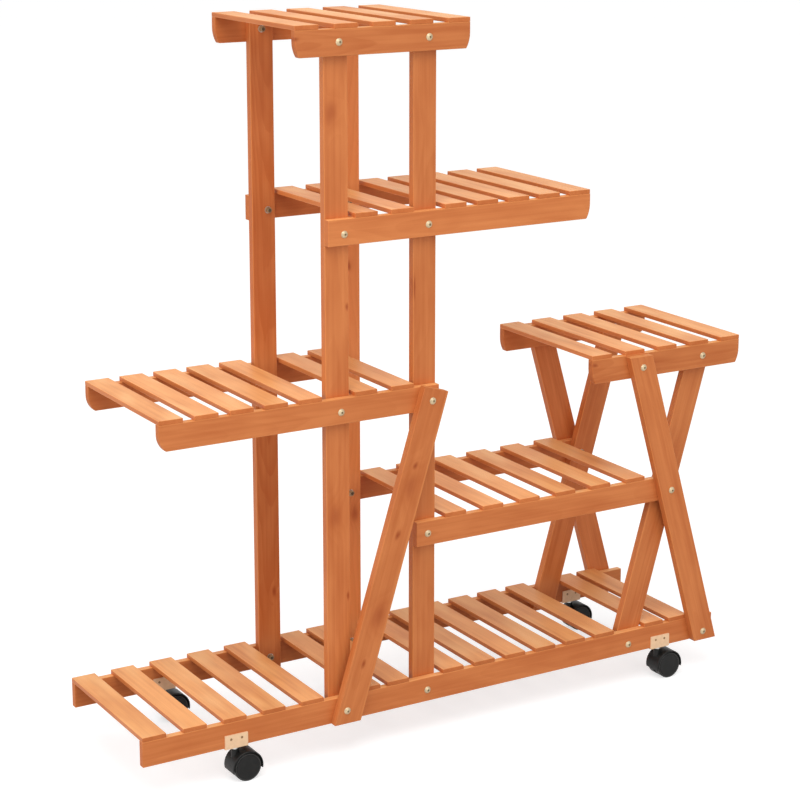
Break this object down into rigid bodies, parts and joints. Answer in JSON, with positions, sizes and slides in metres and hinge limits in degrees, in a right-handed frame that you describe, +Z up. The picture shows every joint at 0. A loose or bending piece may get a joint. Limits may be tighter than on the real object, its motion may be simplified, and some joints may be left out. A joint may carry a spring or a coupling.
{
  "type": "plant stand",
  "caption": "Rolling wooden plant stand with slatted shelves stepped round a tower of posts, a diagonal brace and a small shelf on crossed legs, on swivelling twin-wheel casters.",
  "frame": {"origin": "on the floor, in the middle of the footprint", "axes": "+X along the stand, towards the end with the crossed legs; +Y to the back, away from the brace; +Z up"},
  "size_m": [1.2444, 0.343, 1.28],
  "materials": {
    "wood_rail": "satin stained softwood",
    "wood_upright": "satin stained softwood",
    "wood_slat": "satin stained softwood",
    "zinc_plate": "matte yellow zinc",
    "steel": "bright zinc",
    "bolt_metal": "satin pale yellow zinc",
    "dark_steel": "dark",
    "caster_plastic": "matte",
    "wheel_plastic": "matte"
  },
  "bodies": {
    "stand": {"front_left_post": "wood_upright", "front_right_post": "wood_upright", "front_bottom_rail": "wood_rail", "front_middle_right_rail": "wood_rail", "front_left_rail": "wood_rail", "front_upper_right_rail": "wood_rail", "front_top_rail": "wood_rail", "front_right_top_rail": "wood_rail", "front_outer_leg": "wood_upright", "front_inner_leg": "wood_upright", "back_left_post": "wood_upright", "back_right_post": "wood_upright", "back_bottom_rail": "wood_rail", "back_middle_right_rail": "wood_rail", "back_left_rail": "wood_rail", "back_upper_right_rail": "wood_rail", "back_top_rail": "wood_rail", "back_right_top_rail": "wood_rail", "back_outer_leg": "wood_upright", "back_inner_leg": "wood_upright", "front_brace": "wood_upright", "bottom_slats": "wood_slat", "middle_right_slats": "wood_slat", "left_slats": "wood_slat", "upper_right_slats": "wood_slat", "top_slats": "wood_slat", "right_top_slats": "wood_slat", "front_left_caster_bracket": "zinc_plate", "front_left_caster_stem": "steel", "front_right_caster_bracket": "zinc_plate", "front_right_caster_stem": "steel", "back_left_caster_bracket": "zinc_plate", "back_left_caster_stem": "steel", "back_right_caster_bracket": "zinc_plate", "back_right_caster_stem": "steel", "frame_bolts": "bolt_metal", "frame_washers": "steel", "frame_nuts": "bolt_metal", "bracket_screws": "dark_steel"},
    "front_left_caster": {"front_left_caster_hood": "caster_plastic", "front_left_caster_axle": "steel"},
    "front_left_caster_outer_wheel": {"front_left_caster_wheel_outer": "wheel_plastic"},
    "front_left_caster_inner_wheel": {"front_left_caster_wheel_inner": "wheel_plastic"},
    "front_right_caster": {"front_right_caster_hood": "caster_plastic", "front_right_caster_axle": "steel"},
    "front_right_caster_outer_wheel": {"front_right_caster_wheel_outer": "wheel_plastic"},
    "front_right_caster_inner_wheel": {"front_right_caster_wheel_inner": "wheel_plastic"},
    "back_left_caster": {"back_left_caster_hood": "caster_plastic", "back_left_caster_axle": "steel"},
    "back_left_caster_outer_wheel": {"back_left_caster_wheel_outer": "wheel_plastic"},
    "back_left_caster_inner_wheel": {"back_left_caster_wheel_inner": "wheel_plastic"},
    "back_right_caster": {"back_right_caster_hood": "caster_plastic", "back_right_caster_axle": "steel"},
    "back_right_caster_outer_wheel": {"back_right_caster_wheel_outer": "wheel_plastic"},
    "back_right_caster_inner_wheel": {"back_right_caster_wheel_inner": "wheel_plastic"}
  },
  "joints": [
    {"name": "front_left_caster_swivel", "type": "hinge", "parent": "stand", "child": "front_left_caster", "pos_m": [-0.4492, -0.1465, 0.053], "axis": [0, 0, 1], "continuous": true},
    {"name": "front_left_caster_outer_wheel_spin", "type": "hinge", "parent": "front_left_caster", "child": "front_left_caster_outer_wheel", "pos_m": [-0.4322, -0.1465, 0.025], "axis": [0, 1, 0], "continuous": true},
    {"name": "front_left_caster_inner_wheel_spin", "type": "hinge", "parent": "front_left_caster", "child": "front_left_caster_inner_wheel", "pos_m": [-0.4322, -0.1465, 0.025], "axis": [0, 1, 0], "continuous": true},
    {"name": "front_right_caster_swivel", "type": "hinge", "parent": "stand", "child": "front_right_caster", "pos_m": [0.4528, -0.1465, 0.053], "axis": [0, 0, 1], "continuous": true},
    {"name": "front_right_caster_outer_wheel_spin", "type": "hinge", "parent": "front_right_caster", "child": "front_right_caster_outer_wheel", "pos_m": [0.4698, -0.1465, 0.025], "axis": [0, 1, 0], "continuous": true},
    {"name": "front_right_caster_inner_wheel_spin", "type": "hinge", "parent": "front_right_caster", "child": "front_right_caster_inner_wheel", "pos_m": [0.4698, -0.1465, 0.025], "axis": [0, 1, 0], "continuous": true},
    {"name": "back_left_caster_swivel", "type": "hinge", "parent": "stand", "child": "back_left_caster", "pos_m": [-0.4492, 0.1465, 0.053], "axis": [0, 0, 1], "continuous": true},
    {"name": "back_left_caster_outer_wheel_spin", "type": "hinge", "parent": "back_left_caster", "child": "back_left_caster_outer_wheel", "pos_m": [-0.4322, 0.1465, 0.025], "axis": [0, 1, 0], "continuous": true},
    {"name": "back_left_caster_inner_wheel_spin", "type": "hinge", "parent": "back_left_caster", "child": "back_left_caster_inner_wheel", "pos_m": [-0.4322, 0.1465, 0.025], "axis": [0, 1, 0], "continuous": true},
    {"name": "back_right_caster_swivel", "type": "hinge", "parent": "stand", "child": "back_right_caster", "pos_m": [0.4528, 0.1465, 0.053], "axis": [0, 0, 1], "continuous": true},
    {"name": "back_right_caster_outer_wheel_spin", "type": "hinge", "parent": "back_right_caster", "child": "back_right_caster_outer_wheel", "pos_m": [0.4698, 0.1465, 0.025], "axis": [0, 1, 0], "continuous": true},
    {"name": "back_right_caster_inner_wheel_spin", "type": "hinge", "parent": "back_right_caster", "child": "back_right_caster_inner_wheel", "pos_m": [0.4698, 0.1465, 0.025], "axis": [0, 1, 0], "continuous": true}
  ]
}
